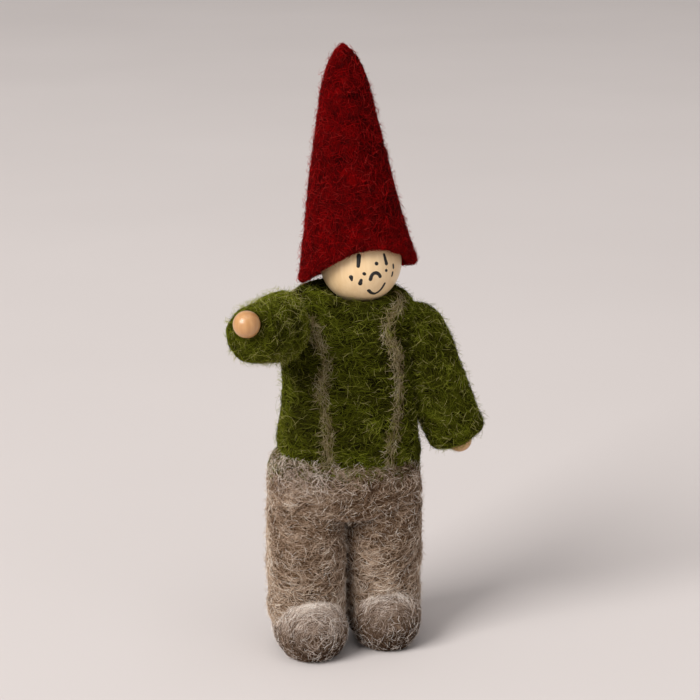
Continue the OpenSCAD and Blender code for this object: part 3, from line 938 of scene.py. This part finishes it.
brim_batch = wisps(hat, 3200, 631, along(UP), (1.2, 3.2), (0.035, 0.055), (1, 2, 3, 3, 2),
                   avoid=head_clear, jitter=1.0, lift=0.3, reach=0.8, curl=0.3, hold=0.05, keep=at_brim)
hat_coat += strand_meshes("hat_brim_wool", [brim_batch], REDS)
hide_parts("hat_shell")
for obj in (hat.obj, *hat_coat):
    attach(obj, "hat")


# ---------------------------------------------------------------- braces

BRACE_W = 3.4
BRACE_SHIFT = TRUNK[0] - 1.5
# Distance from the middle and height above the hem, from the hem to the shoulder
BRACE_LINES = {
    "right": [(-8.0, 0), (-8.0, 13.5), (-9.4, 28), (-7.8, 33.7), (-9.9, 38.2), (-11.9, 43.9), (-14.7, 48.9),
              (-17.6, 51.6)],
    "left": [(11.5, 0), (11.8, 5.4), (13.1, 11.9), (14.3, 28.5), (13.1, 36.1), (10.6, 40.5), (11.3, 44.9),
             (14.2, 48.3), (16.4, 50.6)],
}


def brace_strands(side, seed):
    """A band of grey fibres felted into the sweater's front and back along one brace."""
    rng = np.random.default_rng(seed)
    line = smooth_rows([(x + BRACE_SHIFT, z + HEM_Z) for x, z in BRACE_LINES[side]], 60)
    batches = []
    for front in (-1, 1):
        count = int(1500 * THIN) + 4
        t = rng.uniform(0, 1, count)
        # The felted band is patchy: fewer fibres reach the surface in places
        patch = lumps(np.stack([t * 50, 0 * t, 0 * t], 1), 6, seed + front)
        keep = rng.random(count) < 0.62 + 0.45 * patch + 0.25 * t
        t = t[keep]
        at = np.stack([np.interp(t, np.linspace(0, 1, 60), line[:, k]) for k in (0, 1)], 1)
        off = rng.normal(0, BRACE_W * 0.26, len(t))
        start = np.stack([at[:, 0] + off, np.full(len(t), TRUNK[1] + front * 30.0), at[:, 1]], 1)
        slope = np.gradient(line, axis=0)
        way = np.stack([np.interp(t, np.linspace(0, 1, 60), slope[:, 0]), np.zeros(len(t)),
                        np.interp(t, np.linspace(0, 1, 60), slope[:, 1])], 1)
        hit = [trunk.tree.ray_cast(p, (0, -front, 0)) for p in start.tolist()]
        met = np.array([h[0] is not None for h in hit])
        points = np.array([h[0] for h in hit if h[0] is not None])
        normals = np.array([h[1] for h in hit if h[0] is not None])
        t, way = t[met], way[met]
        direction = across(way, normals) * rng.choice([-1.0, 1.0], len(t))[:, None]
        direction = turn(direction, normals, rng.normal(0, 0.5, len(t)))
        step = rng.uniform(1.8, 4.4, len(t)) / 6
        bend = rng.normal(0, 0.22, len(t))
        path, outs = [points], [normals]
        for _ in range(6):
            direction = turn(across(direction, normals), normals, bend * step + rng.normal(0, 0.12, len(t)))
            points, normals = trunk.nearest(points + direction * step[:, None])
            path.append(points)
            outs.append(normals)
        path, outs = np.stack(path, 1), np.stack(outs, 1)
        rise = rng.uniform(0.25, 0.75, (len(t), 1)) * np.sin(np.pi * np.linspace(0, 0.92, 7))[None] + 0.1
        path = head_clear(path + outs * rise[..., None])
        width = rng.uniform(0.045, 0.08, len(t))
        shade = pick_shades(path, seed + 9, (1, 2, 3, 3, 2), 4.0)
        batches.append((path, outs, width, shade))
    return strand_mesh(f"{side}_brace_wool", batches, BRACES)


for k, side in enumerate(SIDES):
    brace = brace_strands(side, 701 + 10 * k)
    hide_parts(f"{side}_brace")
    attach(brace, "torso")


# ---------------------------------------------------------------- beads and face

def bead(name, centre, axis, radius, bore, material, through=True):
    """A turned bead with its bore and the slightly flattened, eased ends of a real one."""
    half = math.asin(min(0.95, (bore + 0.35) / radius))
    rows = []
    for v in np.linspace(half, math.pi - half, 72):
        rows.append((-radius * math.cos(v), radius * math.sin(v)))
    first_z = rows[0][0]
    ease = [(first_z - 0.02, bore + 0.22), (first_z + 0.12, bore + 0.06), (first_z + 0.4, bore)]
    profile = ease[::-1] + rows + [(-z, r) for z, r in ease]
    axis = unit(axis)
    e = across(np.array([1.0, 0, 0]), axis)
    f = np.cross(axis, e)
    n = 112
    a = np.linspace(0, 2 * math.pi, n, endpoint=False)
    outward = np.cos(a)[:, None] * e + np.sin(a)[:, None] * f
    rings = [centre + z * axis + r * outward for z, r in profile]
    if through:  # the bore's wall closes the skin into a ring
        verts = np.concatenate(rings)
        m = len(rings)
        faces = [(k * n + i, k * n + (i + 1) % n, (k + 1) % m * n + (i + 1) % n, (k + 1) % m * n + i)
                 for k in range(m) for i in range(n)]
        return new_object(name, verts, faces, [material])
    rings = rings[:-len(ease)]  # a hand bead has no bore at its outer end
    for w in (half * 0.7, half * 0.35):
        rings.append(centre + radius * math.cos(w) * axis + radius * math.sin(w) * outward)
    verts, faces = loft(np.array(rings), rings[0].mean(0), centre + radius * axis)
    return new_object(name, verts, faces, [material])


head_bead = bead("head_bead_turned", HEAD, NECK_DIR, HEAD_R, 2.25, HEAD_WOOD)
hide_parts("head_bead")
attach(head_bead, "head")
for side in SIDES:
    hand = bead(f"{side}_hand_bead_turned", HAND[side], HAND[side] - ELBOW[side], HAND_R, 0.95,
                HAND_WOOD, through=False)
    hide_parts(f"{side}_hand_bead")
    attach(hand, f"{side}_forearm")

# The face: pen strokes on the bead. Points are degrees round to the doll's left, and degrees up.
INK_BROAD = 1.45
STROKES = [
    # width in mm at the start and at the end, then the points of the stroke
    (0.95, 0.75, [(-14.6, 20.5), (-14.9, 13), (-15.3, 6.2)]),
    (0.55, 0.80, [(24.6, 19.8), (25.4, 13), (26.6, 7.0)]),
    (0.80, 0.70, [(2.2, -13.0), (3.4, -7.8), (6.2, -4.8), (10.2, -4.2), (13.6, -6.2), (16.6, -10.2)]),
    (0.75, 0.55, [(1.4, -31.8), (6.8, -37.0), (14.0, -39.4), (20.2, -36.6), (24.4, -30.0), (26.8, -22.4)]),
    (0.75, 0.75, [(10.2, 9.0), (11.0, 8.6)]),
    (0.95, 0.45, [(-25.4, -9.8), (-24.6, -14.4)]),
    (0.70, 0.70, [(-7.4, -4.3), (-6.6, -4.9)]),
    (0.60, 0.90, [(-11.2, -13.6), (-12.6, -19.2)]),
    (0.60, 0.60, [(25.8, -2.2), (26.4, -2.9)]),
    (0.50, 0.55, [(39.8, 3.4), (40.2, -0.8)]),
    (0.55, 0.50, [(39.2, -7.6), (38.8, -12.2)]),
]


def face_point(turned, up, height):
    turned, up = np.radians(turned), np.radians(up)
    ray = np.stack([np.sin(turned) * np.cos(up), -np.cos(turned) * np.cos(up), np.sin(up)], -1)
    return HEAD + ray * (HEAD_R + height)


def ink_strokes():
    verts, faces = [], []
    for w0, w1, points in STROKES:
        line = smooth_rows(points, 18) if len(points) > 2 else np.linspace(points[0], points[1], 8)
        middle = face_point(line[:, 0], line[:, 1], 0)
        out = unit(middle - HEAD)
        way = across(np.gradient(middle, axis=0), out)
        side = np.cross(way, out)
        share = np.linspace(0, 1, len(line))
        half = INK_BROAD * (w0 + (w1 - w0) * share) / 2
        outline = list(middle + side * half[:, None])
        for angle in np.linspace(0, math.pi, 7)[1:-1]:
            outline.append(middle[-1] + half[-1] * (math.cos(angle) * side[-1] + math.sin(angle) * way[-1]))
        outline += list((middle - side * half[:, None])[::-1])
        for angle in np.linspace(0, math.pi, 7)[1:-1]:
            outline.append(middle[0] - half[0] * (math.cos(angle) * side[0] + math.sin(angle) * way[0]))
        outline = np.array(outline)
        n, m = len(outline), len(line)
        wobble = 1 + 0.06 * lumps(outline * 3, 1.0, 5)
        centre_of = np.concatenate([middle, np.repeat(middle[-1:], 5, 0), middle[::-1],
                                    np.repeat(middle[:1], 5, 0)])
        outline = centre_of + (outline - centre_of) * wobble[:, None]
        base = len(verts)
        rim = unit(outline - HEAD)
        ridge = unit(middle - HEAD)
        verts += list(HEAD + rim * (HEAD_R - 0.05)) + list(HEAD + rim * (HEAD_R + 0.02))
        verts += list(HEAD + ridge * (HEAD_R + 0.035)) + list(HEAD + ridge * (HEAD_R - 0.05))
        low, high, top, under = base, base + n, base + 2 * n, base + 2 * n + m
        for i in range(n):
            j = (i + 1) % n
            faces.append((low + i, low + j, high + j, high + i))
        spine = list(range(m)) + [m - 1] * 5 + list(range(m))[::-1] + [0] * 5
        for i in range(n):
            j = (i + 1) % n
            a, b = spine[i], spine[j]
            upper_face = [high + i, high + j, top + b] + ([top + a] if a != b else [])
            lower_face = [low + j, low + i, under + a] + ([under + b] if a != b else [])
            faces += [tuple(upper_face), tuple(lower_face)]
    return new_object("face_ink", verts, faces, [INK])


ink = ink_strokes()
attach(ink, "head")


# ---------------------------------------------------------------- floor, light and camera

def plain_floor():
    half = 6.0
    verts = np.array([(-half, -half, 0), (half, -half, 0), (half, half, 0), (-half, half, 0)]) / MM
    mat, shader = new_material("studio_floor", Roughness=0.7, Specular_IOR_Level=0.2)
    tones = [(0.3, (205, 198, 196)), (0.7, (209, 202, 200))]
    ramp = ramp_node(mat, noise_node(mat, 3.0).outputs["Fac"], tones)
    link(mat, ramp.outputs["Color"], shader.inputs["Base Color"])
    floor = new_object("studio_floor", verts, [(0, 1, 2, 3)], [mat], smooth=False)


def soft_light(name, azimuth, elevation, distance, size, watts, colour=(1, 1, 1)):
    """A square soft light aimed at the doll; azimuth 0 is in front and 90 at the doll's left."""
    a, e = math.radians(azimuth), math.radians(elevation)
    away = Vector((math.sin(a) * math.cos(e), -math.cos(a) * math.cos(e), math.sin(e)))
    data = bpy.data.lights.new(name, "AREA")
    data.shape, data.size, data.energy, data.color = "SQUARE", size, watts, colour
    lamp = bpy.data.objects.new(name, data)
    lamp.location = Vector((0, 0.01, 0.09)) + away * distance
    lamp.rotation_mode = "QUATERNION"
    lamp.rotation_quaternion = away.to_track_quat("Z", "Y")
    bpy.context.scene.collection.objects.link(lamp)


plain_floor()
soft_light("key_light", -58, 36, 4.2, 2.2, 212, (1.0, 0.985, 0.96))
soft_light("fill_light", 45, 30, 4.4, 2.6, 7, (0.97, 0.98, 1.0))
soft_light("top_light", 0, 80, 4.0, 2.2, 24)

world = bpy.data.worlds.new("studio_world")
world.use_nodes = True
world.node_tree.nodes["Background"].inputs["Color"].default_value = linear((232, 228, 226))
world.node_tree.nodes["Background"].inputs["Strength"].default_value = 0.54
bpy.context.scene.world = world
bpy.context.scene.view_settings.view_transform = "Standard"

CAMERA_AZIMUTH, CAMERA_ELEVATION, CAMERA_DISTANCE = -12.0, 15.0, 0.65
LOOK_AT = Vector((0.0010, 0.0103, 0.0952))
camera_data = bpy.data.cameras.new("camera")
camera_data.lens = 108.3
camera_data.sensor_width = 36
camera_data.clip_start, camera_data.clip_end = 0.02, 40
camera = bpy.data.objects.new("camera", camera_data)
ca, ce = math.radians(CAMERA_AZIMUTH), math.radians(CAMERA_ELEVATION)
back = Vector((math.sin(ca) * math.cos(ce), -math.cos(ca) * math.cos(ce), math.sin(ce)))
camera.location = LOOK_AT + back * CAMERA_DISTANCE
camera.rotation_mode = "QUATERNION"
camera.rotation_quaternion = back.to_track_quat("Z", "Y")
bpy.context.scene.collection.objects.link(camera)
bpy.context.scene.camera = camera

bpy.context.view_layer.update()
